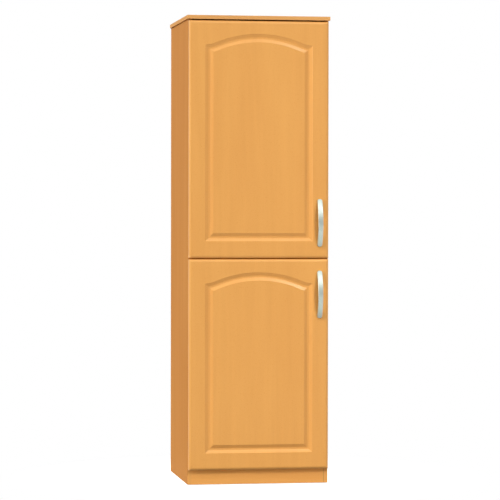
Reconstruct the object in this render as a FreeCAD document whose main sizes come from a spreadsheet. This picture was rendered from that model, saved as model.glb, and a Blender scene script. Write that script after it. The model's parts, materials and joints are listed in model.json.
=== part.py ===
import FreeCAD, Part
import math
import os
import re

import Sketcher
from FreeCAD import Placement, Rotation, Vector

# A tall kitchen housing for a built-in refrigerator, in millimetres.
# X runs across the front from left to right, Y runs into the cabinet, Z is up.
# The origin is on the floor under the middle of the whole footprint.

SIZES = {
    # carcass
    "carcass_width": 600,
    "carcass_depth": 560,
    "cabinet_height": 1980,
    "board": 16,
    "glide_height": 2,
    "plinth_height": 70,
    "niche_height": 880,
    "duct_depth": 40,
    "top_overhang": 5,
    "vent_width": 480,
    # back panel of the upper cupboard
    "back_thickness": 3,
    "back_setback": 5,
    "groove_depth": 6,
    "groove_play": 0.2,
    "access_radius": 10,
    # adjustable shelves and their pins
    "shelf_play": 1,
    "shelf_front_setback": 20,
    "shelf_back_gap": 4,
    "shelf_low_rise": 320,
    "shelf_high_rise": 656,
    "pin_row_front": 70,
    "pin_row_back": 70,
    "pin_hole_pitch": 32,
    "pin_plug_radius": 2.5,
    "pin_plug_length": 8,
    "pin_tab_length": 11,
    "pin_tab_width": 9,
    "pin_tab_height": 4,
    # corner joints: cam, cam bolt and dowel
    "joint_inset": 60,
    "cam_reach": 34,
    "cam_radius": 7.4,
    "cam_height": 12.4,
    "cam_slot": 8,
    "bolt_thread_radius": 3,
    "bolt_thread_length": 11,
    "bolt_head_radius": 3.5,
    "bolt_tip_gap": 2,
    "dowel_radius": 4,
    "dowel_length": 30,
    "dowel_in_panel": 10,
    "rail_dowel_low": 12,
    "rail_dowel_high": 38,
    "bore_end_gap": 1,
    "fit": 0.05,
    # floor glides
    "glide_radius": 7,
    "glide_nail_radius": 1.5,
    "glide_nail_length": 16,
    "glide_inset": 40,
    # wall brackets
    "bracket_drop": 60,
    "bracket_height": 40,
    "bracket_leg": 32,
    "bracket_thickness": 2,
    "bracket_bend": 2,
    "bracket_corner": 6,
    "wall_hole_radius": 3.25,
    "wall_hole_reach": 18,
    "bracket_screw_spacing": 20,
    "bracket_screw_setback": 16,
    # pan head screws for the brackets
    "small_screw_radius": 1.9,
    "small_screw_length": 14,
    "small_head_radius": 3.6,
    "small_head_height": 2,
    # doors
    "door_thickness": 18,
    "door_gap": 3,
    "door_side_reveal": 1.5,
    "door_split_gap": 5,
    "split_drop": 2.5,
    "door_drop": 6,
    "top_reveal": 6,
    "edge_width": 11,
    "edge_depth": 5,
    # raised panel moulding on the doors
    "stile_width": 69,
    "rail_width": 71,
    "shoulder_drop": 102,
    "apex_drop": 55,
    "ogee_radius": 110,
    "moulding_depth": 6.6,
    "quirk_depth": 1.7,
    "quirk_run": 2,
    "ovolo_width": 13,
    "ovolo_swell": 0.4,
    "groove_flat": 8,
    "bevel_width": 13.5,
    "bevel_round": 0.2,
    "field_step": 0.6,
    # door bumpers
    "bumper_radius": 4,
    "bumper_inset": 40,
    "bumper_play": 0.2,
    # bow handles
    "handle_length": 202,
    "handle_width": 21,
    "handle_reach": 34,
    "handle_grip": 9,
    "handle_end": 6,
    "handle_foot": 18,
    "handle_hole_spacing": 192,
    "handle_softening": 2.5,
    "handle_corner": 9,
    "handle_from_edge": 38.5,
    "handle_from_split": 149,
    "handle_screw_radius": 2,
    "handle_screw_bite": 6.5,
    "handle_head_radius": 4,
    "handle_head_height": 2.6,
    "hole_play": 0.25,
    # cup hinges, measured from the hinge pin
    "hinge_inset": 100,
    "cup_radius": 17.4,
    "cup_play": 0.1,
    "cup_wall": 0.9,
    "cup_floor": 0.8,
    "cup_edge": 3,
    "cup_lip": 1.1,
    "flange_thickness": 1,
    "flange_width": 13,
    "flange_height": 57,
    "flange_offset": 9.5,
    "flange_softening": 0.4,
    "cup_screw_spacing": 45,
    "pin_radius": 1.25,
    "pin_length": 18.8,
    "pin_depth": 9,
    "eye_radius": 2.3,
    "eye_width": 8,
    "eye_clearance": 0.5,
    "arm_thickness": 2.5,
    "arm_bend": 1,
    "arm_root": 16,
    "arm_length": 62,
    "channel_width": 16,
    "cheek_thickness": 1.5,
    "swing_clearance": 0.7,
    "plate_line": 37,
    "plate_front": 18,
    "plate_wing_span": 46,
    "plate_wing_width": 14,
    "plate_wing_thickness": 2.4,
    "plate_screw_spacing": 32,
    "plate_screw_radius": 2.5,
    "plate_screw_length": 12,
    "plate_head_radius": 4.4,
    "plate_head_height": 2.2,
    "arm_screw_radius": 2,
    "arm_screw_front": 10,
    "arm_screw_back": 14,
    "arm_head_radius": 3.8,
    "arm_head_height": 2.4,
    "cup_screw_radius": 1.75,
    "cup_screw_length": 12,
    "cup_head_radius": 3.8,
    "cup_head_height": 1.8,
    "running_fit": 0.05,
    "seat_clearance": 0.3,
}

doc = FreeCAD.newDocument("refrigerator_housing")
sheet = doc.addObject("Spreadsheet::Sheet", "size")
for row, (alias, number) in enumerate(SIZES.items(), start=1):
    sheet.set(f"A{row}", alias)
    sheet.set(f"B{row}", str(number))
    sheet.setAlias(f"B{row}", alias)
doc.recompute()

# Derived places, as formulas in the names of the sizes.
# Y is counted here from the front edges of the side panels.
FRONT = "((door_gap + door_thickness + handle_reach - carcass_depth) / 2)"
INNER_X = "(carcass_width / 2 - board)"
PANEL_TOP = "(cabinet_height - board)"
REAR = "(carcass_depth - duct_depth)"
DECK_MIDDLE = "(plinth_height - board / 2)"
SHELF_MIDDLE = "(plinth_height + niche_height + board / 2)"
SHELF_TOP = "(plinth_height + niche_height + board)"
BACK_FRONT = f"({REAR} - back_setback - back_thickness)"
SHELF_BACK = f"({BACK_FRONT} - shelf_back_gap)"
DOOR_FACE = "(-door_gap - door_thickness)"
DOOR_WIDTH = "(carcass_width - 2 * door_side_reveal)"
DOOR_SPLIT = f"({SHELF_MIDDLE} - split_drop)"
LOWER_FOOT = "(plinth_height - door_drop)"
LOWER_HEIGHT = f"({DOOR_SPLIT} - door_split_gap / 2 - {LOWER_FOOT})"
UPPER_FOOT = f"({DOOR_SPLIT} + door_split_gap / 2)"
UPPER_HEIGHT = f"({PANEL_TOP} - top_reveal - {UPPER_FOOT})"
BRACKET_Z = f"({PANEL_TOP} - bracket_drop)"
HANDLE_X = f"({DOOR_WIDTH} / 2 - handle_from_edge)"

# The hinge pin stands just inside the near wall of the cup.
CUP_BORE = "(cup_radius - cup_wall)"
CUP_HOLE = "(cup_radius + cup_play)"
NEAR_WALL = f"(cup_edge + {CUP_HOLE} - sqrt({CUP_BORE}^2 - (eye_width / 2)^2))"
PIN_INSET = f"({NEAR_WALL} + eye_radius + eye_clearance)"
PIN_X = f"(-{DOOR_WIDTH} / 2 + {PIN_INSET})"
PIN_Y = "(-door_gap - pin_depth)"
CUP_X = f"(cup_edge + {CUP_HOLE} - {PIN_INSET})"
CUP_DEPTH = "(pin_depth + eye_radius + seat_clearance + cup_floor)"
PANEL_FACE = f"(board - door_side_reveal - {PIN_INSET})"
PANEL_EDGE = "(door_gap + pin_depth)"
LIP_REACH = f"({PIN_INSET} - cup_edge + cup_lip)"
WEB = f"(sqrt({LIP_REACH}^2 + (pin_depth + flange_thickness)^2) + swing_clearance)"

LEFT_TO_RIGHT = Rotation()
RIGHT_TO_LEFT = Rotation(Vector(0, 0, 1), 180)
LEFT_FROM_BEHIND = Rotation(Vector(1, 0, 0), 90)
RIGHT_FROM_BEHIND = RIGHT_TO_LEFT.multiply(Rotation(Vector(1, 0, 0), -90))
DOWN_LEFT_PANEL = Rotation(Vector(1, 0, -1), 180)
DOWN_RIGHT_PANEL = Rotation(Vector(0, 1, 0), 90)
UPWARD = Rotation(Vector(0, 1, 0), -90)
INTO_LEFT_PANEL = RIGHT_TO_LEFT
INTO_RIGHT_PANEL = LEFT_TO_RIGHT
INWARD = Rotation(Vector(0, 0, 1), 90)
OUTWARD = Rotation(Vector(0, 0, 1), -90)

nodes = []


def cells(formula):
    """The formula with each size name pointing at its cell."""
    return re.sub(r"[a-z_]+", lambda word: f"size.{word[0]}" if word[0] in SIZES else word[0], formula)


def value(formula):
    return float(sheet.evalExpression(cells(formula)))


def bind(item, **formulas):
    for name, formula in formulas.items():
        item.setExpression(name, cells(formula))
    return item


def place(item, x, y, z, rotation=LEFT_TO_RIGHT):
    item.Placement = Placement(Vector(), rotation)
    for axis, formula in (("x", x), ("y", f"{FRONT} + {y}"), ("z", z)):
        item.setExpression(f"Placement.Base.{axis}", cells(formula))
    return item


def node(item, label):
    item.Label = label
    nodes.append(item)
    return item


def block(name, x, y, z, length, width, height):
    box = doc.addObject("Part::Box", name)
    bind(box, Length=length, Width=width, Height=height)
    return place(box, x, y, z)


def turned(name, *sections):
    """A turned piece along X from (start, length, radius) sections, one after the other."""
    rods = []
    for start, length, radius in sections:
        rod = doc.addObject("Part::Cylinder", name)
        rod.Placement = Placement(Vector(), Rotation(Vector(0, 1, 0), 90))
        bind(rod, Height=length, Radius=radius)
        rod.setExpression("Placement.Base.x", cells(start))
        rods.append(rod)
    if len(rods) == 1:
        return rods[0]
    fused = doc.addObject("Part::MultiFuse", name)
    fused.Shapes = rods
    return fused


def copies(name, pattern, spots):
    """One compound with the pattern set down at each (x, y, z, rotation) spot."""
    links = []
    for x, y, z, rotation in spots:
        link = doc.addObject("App::Link", name)
        link.LinkedObject = pattern
        link.LinkTransform = True
        links.append(place(link, x, y, z, rotation))
    group = doc.addObject("Part::Compound", name)
    group.Links = links
    return group


def drilled(blank, *tools):
    bores = doc.addObject("Part::Compound", f"{blank.Name}_bores")
    bores.Links = list(tools)
    cut = doc.addObject("Part::Cut", f"{blank.Name}_drilled")
    cut.Base = blank
    cut.Tool = bores
    return cut


def add_body(name):
    return doc.addObject("PartDesign::Body", name)


def add_sketch(body, name, plane, offset="0"):
    sketch = body.newObject("Sketcher::SketchObject", name)
    support = next(item for item in body.Origin.OriginFeatures if item.Role == plane)
    sketch.AttachmentSupport = (support, [""])
    sketch.MapMode = "FlatFace"
    sketch.setExpression("AttachmentOffset.Base.z", cells(offset))
    return sketch


def pin_down(sketch, geometry, vertex, point):
    """Dimension one vertex from the sketch's origin."""
    for kind, formula in zip(("DistanceX", "DistanceY"), point):
        constraint = Sketcher.Constraint(kind, -1, 1, geometry, vertex, value(formula))
        index = sketch.addConstraint(constraint)
        sketch.setExpression(f"Constraints[{index}]", cells(formula))


def draw_arc(sketch, start, middle, end):
    """An arc through three points; returns its index and its start and end vertices."""
    first, via, last = (Vector(value(x), value(y), 0) for x, y in (start, middle, end))
    circle = Part.Circle(first, via, last)
    flat = Part.Circle(circle.Center, Vector(0, 0, 1), circle.Radius)
    anticlockwise = (via - first).cross(last - via).z > 0
    ends = (first, last) if anticlockwise else (last, first)
    angles = [flat.parameter(point) for point in ends]
    if angles[1] < angles[0]:
        angles[1] += 2 * math.pi
    arc = sketch.addGeometry(Part.ArcOfCircle(flat, *angles))
    mark = sketch.addGeometry(Part.Point(via), True)
    sketch.addConstraint(Sketcher.Constraint("PointOnObject", mark, 1, arc))
    pin_down(sketch, mark, 1, middle)
    return (arc, 1, 2) if anticlockwise else (arc, 2, 1)


def trace(sketch, start, *strokes):
    """A closed outline: a stroke is (point,) for a line or (middle, point) for an arc."""
    here = start
    pieces = []
    for stroke in strokes:
        there = stroke[-1]
        if len(stroke) == 2:
            pieces.append(draw_arc(sketch, here, stroke[0], there))
        else:
            ends = (Vector(value(x), value(y), 0) for x, y in (here, there))
            pieces.append((sketch.addGeometry(Part.LineSegment(*ends)), 1, 2))
        pin_down(sketch, pieces[-1][0], pieces[-1][1], here)
        here = there
    for (before, _, end), (after, begin, _) in zip(pieces, pieces[1:] + pieces[:1]):
        sketch.addConstraint(Sketcher.Constraint("Coincident", before, end, after, begin))


def rectangle(sketch, left, low, right, high):
    trace(sketch, (left, low), ((right, low),), ((right, high),), ((left, high),), ((left, low),))


def ring(sketch, x, y, radius):
    circle = Part.Circle(Vector(value(x), value(y), 0), Vector(0, 0, 1), value(radius))
    index = sketch.addGeometry(circle)
    pin_down(sketch, index, 3, (x, y))
    size = sketch.addConstraint(Sketcher.Constraint("Radius", index, value(radius)))
    sketch.setExpression(f"Constraints[{size}]", cells(radius))


def quarter_bend(x, y, radius, x_side, y_side):
    """The arc that rounds a square corner: on the leg along X, in the middle, on the leg along Y."""
    inset = f"({radius} * (1 - cos(45)))"
    on_x = (f"({x} + {x_side} * {radius})", y)
    middle = (f"({x} + {x_side} * {inset})", f"({y} + {y_side} * {inset})")
    on_y = (x, f"({y} + {y_side} * {radius})")
    return on_x, middle, on_y


def sagging_arc(width, depth):
    """How far back and how far up the middle of an arc lies from the end where it runs level."""
    radius = f"(({width}^2 + {depth}^2) / (2 * {depth}))"
    turn = f"(asin({width} / {radius}) / 2)"
    return f"({radius} * sin({turn}))", f"({radius} * (1 - cos({turn})))"


def extrude(body, kind, sketch, length, backwards=False, both_ways=False):
    """A pad or pocket of the sketch, bound to a length."""
    feature = body.newObject(f"PartDesign::{kind}", f"{sketch.Name}_{kind.lower()}")
    feature.Profile = sketch
    feature.Reversed = backwards
    feature.Midplane = both_ways
    bind(feature, Length=length)
    return feature


def cut_through(body, sketch):
    """A pocket of the sketch through the whole body, to both sides."""
    pocket = body.newObject("PartDesign::Pocket", f"{sketch.Name}_cut")
    pocket.Profile = sketch
    pocket.Type = "ThroughAll"
    pocket.Midplane = True
    return pocket


def dress(body, feature, kind, name, picked, **size):
    """A fillet or chamfer on those edges of the feature that the test picks."""
    doc.recompute()
    edges = [f"Edge{index}" for index, edge in enumerate(feature.Shape.Edges, start=1) if picked(edge)]
    dressed = body.newObject(f"PartDesign::{kind}", name)
    dressed.Base = (feature, edges)
    return bind(dressed, **size)


def along(edge, direction):
    """Whether a straight edge runs that way."""
    ends = edge.Vertexes[-1].Point - edge.Vertexes[0].Point
    return edge.Curve.TypeId == "Part::GeomLine" and ends.cross(direction).Length < value("fit")


# Places of the fittings, as (x, y, z, rotation) spots.

def both_ends(y, z, left=LEFT_TO_RIGHT, right=RIGHT_TO_LEFT):
    return [(f"-{INNER_X}", y, z, left), (INNER_X, y, z, right)]


def top_ends(y):
    middle = "(carcass_width / 2 - board / 2)"
    return [(f"-{middle}", y, PANEL_TOP, DOWN_LEFT_PANEL), (middle, y, PANEL_TOP, DOWN_RIGHT_PANEL)]


def hinge_spots(foot, height):
    rises = (("bottom", "hinge_inset"), ("middle", f"{height} / 2"), ("top", f"({height} - hinge_inset)"))
    return {level: (PIN_X, PIN_Y, f"{foot} + {rise}", LEFT_TO_RIGHT) for level, rise in rises}


cam_spots = []
dowel_spots = []
for front, middle in (("board", DECK_MIDDLE), ("0", SHELF_MIDDLE)):
    cam_spots += both_ends(f"{front} + joint_inset", middle)
    cam_spots += both_ends(f"{REAR} - joint_inset", middle)
    dowel_spots += both_ends(f"({front} + {REAR}) / 2", middle)
cam_spots += top_ends("joint_inset") + top_ends(f"{REAR} - joint_inset")
dowel_spots += top_ends(f"{REAR} / 2")
for middle in ("board / 2", f"({REAR} - board / 2)"):
    for rise in ("rail_dowel_low", "rail_dowel_high"):
        dowel_spots += both_ends(middle, f"glide_height + {rise}", LEFT_FROM_BEHIND, RIGHT_FROM_BEHIND)

shelf_undersides = [f"({SHELF_TOP} + shelf_low_rise)", f"({SHELF_TOP} + shelf_high_rise)"]
pin_rows = ["pin_row_front", f"({SHELF_BACK} - pin_row_back)"]
pin_spots = [spot for low in shelf_undersides for row in pin_rows for spot in both_ends(row, low)]
pin_hole_spots = [
    spot
    for low in shelf_undersides
    for row in pin_rows
    for step in (-1, 0, 1)
    for spot in both_ends(row, f"{low} + {step} * pin_hole_pitch")
]

glide_x = "(carcass_width / 2 - board / 2)"
glide_spots = [
    (f"{side} * {glide_x}", y, "0", UPWARD)
    for side in (-1, 1)
    for y in ("glide_inset", "(carcass_depth - glide_inset)")
]

bracket_spots = [
    (f"-{INNER_X}", "carcass_depth", BRACKET_Z, LEFT_TO_RIGHT),
    (INNER_X, "carcass_depth", BRACKET_Z, Rotation(Vector(0, 1, 0), 180)),
]
bracket_screw_y = "(carcass_depth - bracket_screw_setback)"
bracket_screw_x = f"({INNER_X} - bracket_thickness)"
bracket_screw_spots = [
    (f"{side} * {bracket_screw_x}", bracket_screw_y,
     f"{BRACKET_Z} + {step} * bracket_screw_spacing / 2", turn)
    for side, turn in ((-1, INTO_LEFT_PANEL), (1, INTO_RIGHT_PANEL))
    for step in (-1, 1)
]

doors = {
    "lower": {"foot": LOWER_FOOT, "height": LOWER_HEIGHT, "handle": f"({LOWER_HEIGHT} - handle_from_split)"},
    "upper": {"foot": UPPER_FOOT, "height": UPPER_HEIGHT, "handle": "handle_from_split"},
}
hinges = {side: hinge_spots(door["foot"], door["height"]) for side, door in doors.items()}
all_hinges = [spot for spots in hinges.values() for spot in spots.values()]

plate_seat_x = f"({PIN_X} + {PANEL_FACE} + plate_wing_thickness)"
plate_screw_spots = [
    (plate_seat_x, "plate_line", f"{z} + {step} * plate_screw_spacing / 2", INTO_LEFT_PANEL)
    for _, _, z, _ in all_hinges
    for step in (-1, 1)
]
arm_screw_spots = [
    (f"({PIN_X} + {WEB} + arm_thickness)", y, z, INTO_LEFT_PANEL)
    for _, _, z, _ in all_hinges
    for y in ("(plate_line - arm_screw_front)", "(plate_line + arm_screw_back)")
]


# Joinery: cams draw the bolt heads in, dowels line the boards up.

def make_cam():
    """A disc across the board with a slot that takes the bolt's head."""
    body = add_body("cam")
    disc = add_sketch(body, "cam_disc", "XY_Plane", "-board / 2")
    ring(disc, "cam_reach", "0", "cam_radius")
    extrude(body, "Pad", disc, "cam_height")
    slot = add_sketch(body, "cam_slot_plan", "XY_Plane")
    rectangle(slot, "(cam_reach - 2 * cam_radius)", "-cam_slot / 2", "cam_reach", "cam_slot / 2")
    extrude(body, "Pocket", slot, "cam_slot", both_ways=True)
    return body


bolt_reach = "(cam_reach - bolt_tip_gap)"
cam = make_cam()
cam_bore = doc.addObject("Part::Cylinder", "cam_bore")
bind(cam_bore, Radius="(cam_radius + fit)", Height="(cam_height + 2 * bore_end_gap)")
cam_bore.setExpression("Placement.Base.x", cells("cam_reach"))
cam_bore.setExpression("Placement.Base.z", cells("(-board / 2 - bore_end_gap)"))
bolt = turned(
    "bolt",
    ("-bolt_thread_length", "bolt_thread_length", "bolt_thread_radius"),
    ("0", bolt_reach, "bolt_head_radius"),
)
bolt_bore = turned(
    "bolt_bore",
    ("(-bolt_thread_length - bore_end_gap)", "(bolt_thread_length + bore_end_gap)",
     "(bolt_thread_radius + fit)"),
    ("0", "cam_reach", "(cam_slot / 2)"),
)
dowel = turned("dowel", ("-dowel_in_panel", "dowel_length", "dowel_radius"))
dowel_bore = turned(
    "dowel_bore",
    ("(-dowel_in_panel - bore_end_gap)", "(dowel_length + 2 * bore_end_gap)", "(dowel_radius + fit)"),
)
node(copies("cams", cam, cam_spots), "cam_locks")
node(copies("bolts", bolt, cam_spots), "cam_bolts")
node(copies("dowels", dowel, dowel_spots), "wooden_dowels")
joint_bores = [
    copies("cam_bores", cam_bore, cam_spots),
    copies("bolt_bores", bolt_bore, cam_spots),
    copies("dowel_bores", dowel_bore, dowel_spots),
]


# Small fittings: shelf pins, floor glides, wall brackets and their screws.

def make_shelf_pin():
    """A round plug with a flat tab whose top carries the shelf."""
    plug = turned("pin_plug", ("-pin_plug_length", "pin_plug_length", "pin_plug_radius"))
    plug.setExpression("Placement.Base.z", cells("-pin_plug_radius"))
    tab = doc.addObject("Part::Box", "pin_tab")
    bind(tab, Length="pin_tab_length", Width="pin_tab_width", Height="pin_tab_height")
    tab.setExpression("Placement.Base.y", cells("-pin_tab_width / 2"))
    tab.setExpression("Placement.Base.z", cells("-pin_tab_height"))
    pin = doc.addObject("Part::MultiFuse", "shelf_pin")
    pin.Shapes = [plug, tab]
    return pin


def make_bracket():
    """An angle of bent sheet steel: one leg on the side panel, one along the wall."""
    body = add_body("bracket")
    section = add_sketch(body, "bracket_section", "XY_Plane")
    outer = quarter_bend("0", "0", "(bracket_bend + bracket_thickness)", 1, -1)
    inner = quarter_bend("bracket_thickness", "(-bracket_thickness)", "bracket_bend", 1, -1)
    trace(
        section,
        outer[0],
        (("bracket_leg", "0"),),
        (("bracket_leg", "-bracket_thickness"),),
        (inner[0],),
        (inner[1], inner[2]),
        (("bracket_thickness", "-bracket_leg"),),
        (("0", "-bracket_leg"),),
        (outer[2],),
        (outer[1], outer[0]),
    )
    angle = extrude(body, "Pad", section, "bracket_height", both_ways=True)
    leg = value("bracket_leg - fit")
    thickness = value("bracket_thickness + fit")

    def tip_corner(edge):
        return max(edge.CenterOfMass.x, -edge.CenterOfMass.y) > leg and edge.Length < thickness

    dress(body, angle, "Fillet", "bracket_corners", tip_corner, Radius="bracket_corner")
    wall_hole = add_sketch(body, "bracket_wall_hole", "XZ_Plane")
    ring(wall_hole, "wall_hole_reach", "0", "wall_hole_radius")
    extrude(body, "Pocket", wall_hole, "bracket_thickness", backwards=True)
    screw_holes = add_sketch(body, "bracket_screw_holes", "YZ_Plane")
    for side in (-1, 1):
        ring(screw_holes, "-bracket_screw_setback", f"{side} * bracket_screw_spacing / 2",
             "(small_screw_radius + fit)")
    extrude(body, "Pocket", screw_holes, "bracket_thickness", backwards=True)
    return body


def make_screw(name, head):
    """A pan head screw along X with the underside of its head at the start."""
    return turned(
        name,
        (f"-{head}_head_height", f"{head}_head_height", f"{head}_head_radius"),
        ("0", f"{head}_screw_length", f"{head}_screw_radius"),
    )


def make_screw_bore(name, head):
    return turned(name, ("0", f"({head}_screw_length + bore_end_gap)", f"({head}_screw_radius + fit)"))


shelf_pin = make_shelf_pin()
pin_hole = turned("pin_hole", ("(-pin_plug_length - bore_end_gap)", "(pin_plug_length + 2 * bore_end_gap)",
                               "(pin_plug_radius + fit)"))
pin_hole.setExpression("Placement.Base.z", cells("-pin_plug_radius"))
glide = turned(
    "glide",
    ("0", "glide_height", "glide_radius"),
    ("glide_height", "glide_nail_length", "glide_nail_radius"),
)
glide_bore = turned("glide_bore", ("0", "(glide_height + glide_nail_length + bore_end_gap)",
                                   "(glide_nail_radius + fit)"))
bracket = make_bracket()
small_screw = make_screw("small_screw", "small")
small_bore = make_screw_bore("small_bore", "small")
plate_screw = make_screw("plate_screw", "plate")
plate_bore = make_screw_bore("plate_bore", "plate")

node(copies("pins", shelf_pin, pin_spots), "shelf_pins")
node(copies("glides", glide, glide_spots), "floor_glides")
node(copies("brackets", bracket, bracket_spots), "wall_brackets")
node(copies("bracket_screws", small_screw, bracket_screw_spots), "wall_bracket_screws")
node(copies("plate_screws", plate_screw, plate_screw_spots), "hinge_plate_screws")
panel_bores = joint_bores + [
    copies("pin_holes", pin_hole, pin_hole_spots),
    copies("glide_bores", glide_bore, glide_spots),
    copies("small_bores", small_bore, bracket_screw_spots),
    copies("plate_bores", plate_bore, plate_screw_spots),
]


# Boards of the carcass.

panel_height = f"({PANEL_TOP} - glide_height)"
groove_width = "(back_thickness + 2 * groove_play)"
for side, outer, groove_x in (
    ("left", "-carcass_width / 2", f"(-{INNER_X} - groove_depth)"),
    ("right", INNER_X, INNER_X),
):
    blank = block(f"{side}_panel", outer, "0", "glide_height", "board", "carcass_depth", panel_height)
    groove = block(f"{side}_groove", groove_x, f"{BACK_FRONT} - groove_play", SHELF_TOP,
                   "groove_depth", groove_width, f"({PANEL_TOP} - {SHELF_TOP})")
    node(drilled(blank, groove, *panel_bores), f"{side}_side_panel")

top_width = "(carcass_width + 2 * top_overhang)"
top_blank = block("top", f"-{top_width} / 2", DOOR_FACE, PANEL_TOP,
                  top_width, f"(carcass_depth - {DOOR_FACE})", "board")
vent = block("top_vent", "-vent_width / 2", REAR, PANEL_TOP, "vent_width", "duct_depth", "board")
node(drilled(top_blank, vent, *joint_bores), "top_panel")

clear_width = f"(2 * {INNER_X})"
deck = block("deck", f"-{INNER_X}", "board", "(plinth_height - board)",
             clear_width, f"({REAR} - board)", "board")
node(drilled(deck, *joint_bores), "bottom_panel")
middle_shelf = block("middle_shelf", f"-{INNER_X}", "0", "(plinth_height + niche_height)",
                     clear_width, REAR, "board")
node(drilled(middle_shelf, *joint_bores), "fixed_shelf")
plinth = block("plinth", f"-{INNER_X}", "0", "glide_height",
               clear_width, "board", "(plinth_height - glide_height)")
node(drilled(plinth, *joint_bores), "plinth_board")
rail_height = "(plinth_height - board - glide_height)"
rail = block("rail", f"-{INNER_X}", f"({REAR} - board)", "glide_height", clear_width, "board", rail_height)
node(drilled(rail, *joint_bores), "rear_plinth_rail")

for level, low in zip(("lower", "upper"), shelf_undersides):
    shelf_width = f"({clear_width} - 2 * shelf_play)"
    shelf = block(f"{level}_shelf", f"-{shelf_width} / 2", "shelf_front_setback", low, shelf_width,
                  f"({SHELF_BACK} - shelf_front_setback)", "board")
    node(shelf, f"{level}_adjustable_shelf")

back_width = f"({clear_width} + 2 * groove_depth - 2 * shelf_play)"
back_blank = block("back", f"-{back_width} / 2", BACK_FRONT, SHELF_TOP, back_width, "back_thickness",
                   f"({PANEL_TOP} - {SHELF_TOP})")
access = turned("access", ("(-bore_end_gap)", "(back_thickness + 2 * bore_end_gap)", "access_radius"))
access_x = f"({INNER_X} - wall_hole_reach)"
access_holes = copies("access_holes", access, [
    (f"{side} * {access_x}", BACK_FRONT, BRACKET_Z, INWARD) for side in (-1, 1)
])
node(drilled(back_blank, access_holes), "upper_back_panel")


# Hinges: the arm and plate stay on the side panel, the cup and pin go with the door.

def make_hinge_arm():
    """An eye round the pin, a cranked leg out of the cup and a channel along the plate."""
    body = add_body("hinge_arm")
    eye = add_sketch(body, "arm_eye", "XY_Plane")
    ring(eye, "0", "0", "eye_radius")
    extrude(body, "Pad", eye, "eye_width", both_ways=True)
    leg = add_sketch(body, "arm_leg", "XY_Plane")
    half = "(arm_thickness / 2)"
    outer = f"({WEB} + arm_thickness)"
    root = "(arm_root + arm_thickness)"
    outer_bend = quarter_bend(outer, f"(-{half})", "(arm_bend + arm_thickness)", -1, 1)
    inner_bend = quarter_bend(WEB, half, "arm_bend", -1, 1)
    trace(
        leg,
        ("0", f"-{half}"),
        (outer_bend[0],),
        (outer_bend[1], outer_bend[2]),
        ((outer, root),),
        ((WEB, root),),
        (inner_bend[2],),
        (inner_bend[1], inner_bend[0]),
        (("0", half),),
        (("0", f"-{half}"),),
    )
    extrude(body, "Pad", leg, "eye_width", both_ways=True)
    channel = add_sketch(body, "arm_channel", "XZ_Plane", "-arm_root")
    foot = f"({PANEL_FACE} + plate_wing_thickness + seat_clearance)"
    cheek = "(channel_width / 2 + cheek_thickness)"
    inside = "(channel_width / 2)"
    low_bend = quarter_bend(outer, f"(-{cheek})", "(arm_bend + cheek_thickness)", -1, 1)
    high_bend = quarter_bend(outer, cheek, "(arm_bend + cheek_thickness)", -1, -1)
    trace(
        channel,
        low_bend[2],
        (high_bend[2],),
        (high_bend[1], high_bend[0]),
        ((foot, cheek),),
        ((foot, inside),),
        ((WEB, inside),),
        ((WEB, f"-{inside}"),),
        ((foot, f"-{inside}"),),
        ((foot, f"-{cheek}"),),
        (low_bend[0],),
        (low_bend[1], low_bend[2]),
    )
    extrude(body, "Pad", channel, "arm_length", backwards=True)
    bore = add_sketch(body, "arm_bore", "XY_Plane")
    ring(bore, "0", "0", "(pin_radius + running_fit)")
    cut_through(body, bore)
    screw_holes = add_sketch(body, "arm_screw_holes", "YZ_Plane", WEB)
    for line in ("(plate_line - arm_screw_front)", "(plate_line + arm_screw_back)"):
        ring(screw_holes, f"({PANEL_EDGE} + {line})", "0", "(arm_screw_radius + hole_play)")
    cut_through(body, screw_holes)
    return body


def make_hinge_plate():
    """A raised seat for the arm with a winged foot screwed to the side panel."""
    body = add_body("hinge_plate")
    seat = add_sketch(body, "plate_seat", "YZ_Plane", PANEL_FACE)
    half = "(channel_width / 2 - seat_clearance)"
    rectangle(seat, f"({PANEL_EDGE} + plate_front)", f"-{half}", "(arm_root + arm_length)", half)
    extrude(body, "Pad", seat, f"({WEB} - {PANEL_FACE})")
    wings = add_sketch(body, "plate_wings", "YZ_Plane", PANEL_FACE)
    line = f"({PANEL_EDGE} + plate_line)"
    side = "plate_wing_width / 2"
    tip = "plate_wing_span / 2"
    shoulder = f"({tip} - {side})"
    trace(
        wings,
        (f"({line} - {side})", f"-{shoulder}"),
        ((line, f"-{tip}"), (f"({line} + {side})", f"-{shoulder}")),
        ((f"({line} + {side})", shoulder),),
        ((line, tip), (f"({line} - {side})", shoulder)),
        ((f"({line} - {side})", f"-{shoulder}"),),
    )
    extrude(body, "Pad", wings, "plate_wing_thickness")
    holes = add_sketch(body, "plate_holes", "YZ_Plane", PANEL_FACE)
    for step in (-1, 1):
        ring(holes, line, f"{step} * plate_screw_spacing / 2", "(plate_screw_radius + hole_play)")
    for offset in ("- arm_screw_front", "+ arm_screw_back"):
        ring(holes, f"({line} {offset})", "0", "(arm_screw_radius + fit)")
    cut_through(body, holes)
    return body


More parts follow.
